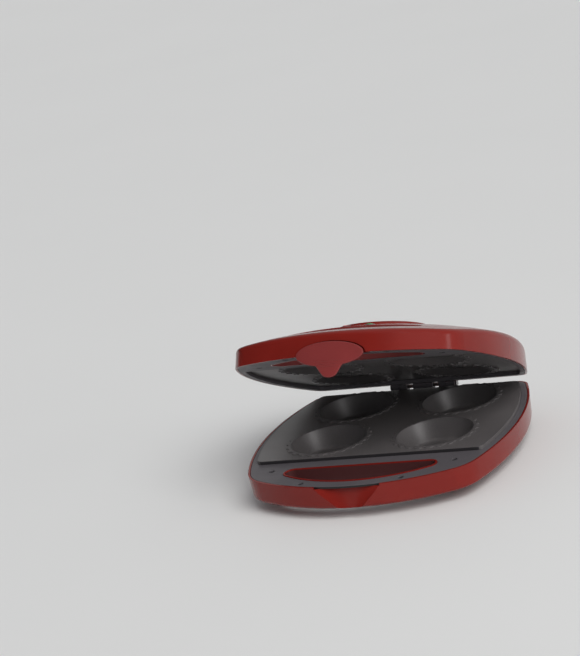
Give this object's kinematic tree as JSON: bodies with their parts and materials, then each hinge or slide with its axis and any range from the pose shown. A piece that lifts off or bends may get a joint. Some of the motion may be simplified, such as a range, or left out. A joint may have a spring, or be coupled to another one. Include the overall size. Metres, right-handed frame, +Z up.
{
  "type": "mini pie maker",
  "caption": "Countertop hinged electric mini pie maker with round pie wells in the lower plate, matching domes in the lid, slotted front handles and a rocking front latch.",
  "frame": {"origin": "on the table's plane, below the middle of the whole object's box at rest, with the lid part way open", "axes": "+X to the object's right as seen from its front, +Y to the rear, where the hinge is, so the front handles and latch face -Y, and +Z up"},
  "size_m": [0.31, 0.3123, 0.2018],
  "materials": {
    "shell_red": "high gloss",
    "latch_red": "satin",
    "trim_black": "fine matte",
    "plate_coating": "dark non-stick coating on cast aluminium",
    "rubber_black": "matte",
    "shield_aluminium": "mill finish sheet",
    "element_steel": "dull, heat darkened",
    "plain_steel": "zinc plated",
    "dark_steel": "blackened",
    "terminal_white": "glazed white",
    "wire_sleeve": "silicone sleeve over copper",
    "medallion_cream": "printed and glossy",
    "lens_red": "clear tinted",
    "lens_green": "clear tinted",
    "board_green": "laminate"
  },
  "bodies": {
    "base": {"base_shell": "shell_red", "base_frame": "trim_black", "lower_plate": "plate_coating", "bottom_cover": "trim_black", "foot_front_left": "rubber_black", "foot_front_right": "rubber_black", "foot_rear_left": "rubber_black", "foot_rear_right": "rubber_black", "heat_shield": "shield_aluminium", "lower_element": "element_steel", "lower_element_clips": "plain_steel", "thermostat": "plain_steel", "thermal_fuse": "plain_steel", "terminal_block": "terminal_white", "cord_gland": "rubber_black", "base_wiring": "wire_sleeve", "lower_plate_screws": "plain_steel", "cover_screws": "plain_steel", "deck_screws": "dark_steel", "hinge_pin": "plain_steel"},
    "lid": {"lid_shell": "shell_red", "lid_frame": "trim_black", "upper_plate": "plate_coating", "upper_element": "element_steel", "upper_element_clips": "plain_steel", "upper_thermostat": "plain_steel", "upper_plate_screws": "plain_steel", "lid_deck_screws": "dark_steel", "medallion_ring": "shell_red", "medallion": "medallion_cream", "power_lens": "lens_red", "ready_lens": "lens_green", "lamp_board": "board_green", "lid_wiring": "wire_sleeve", "latch_pin": "plain_steel"},
    "latch": {"latch": "latch_red"}
  },
  "joints": [
    {"name": "lid_hinge", "type": "hinge", "parent": "base", "child": "lid", "pos_m": [0, 0.14997, 0.041], "axis": [-1, 0, 0], "range_deg": [-27, 78]},
    {"name": "latch_pivot", "type": "hinge", "parent": "lid", "child": "latch", "pos_m": [0, -0.11728, 0.18391], "axis": [-1, 0, 0], "range_deg": [-6, 12]}
  ]
}
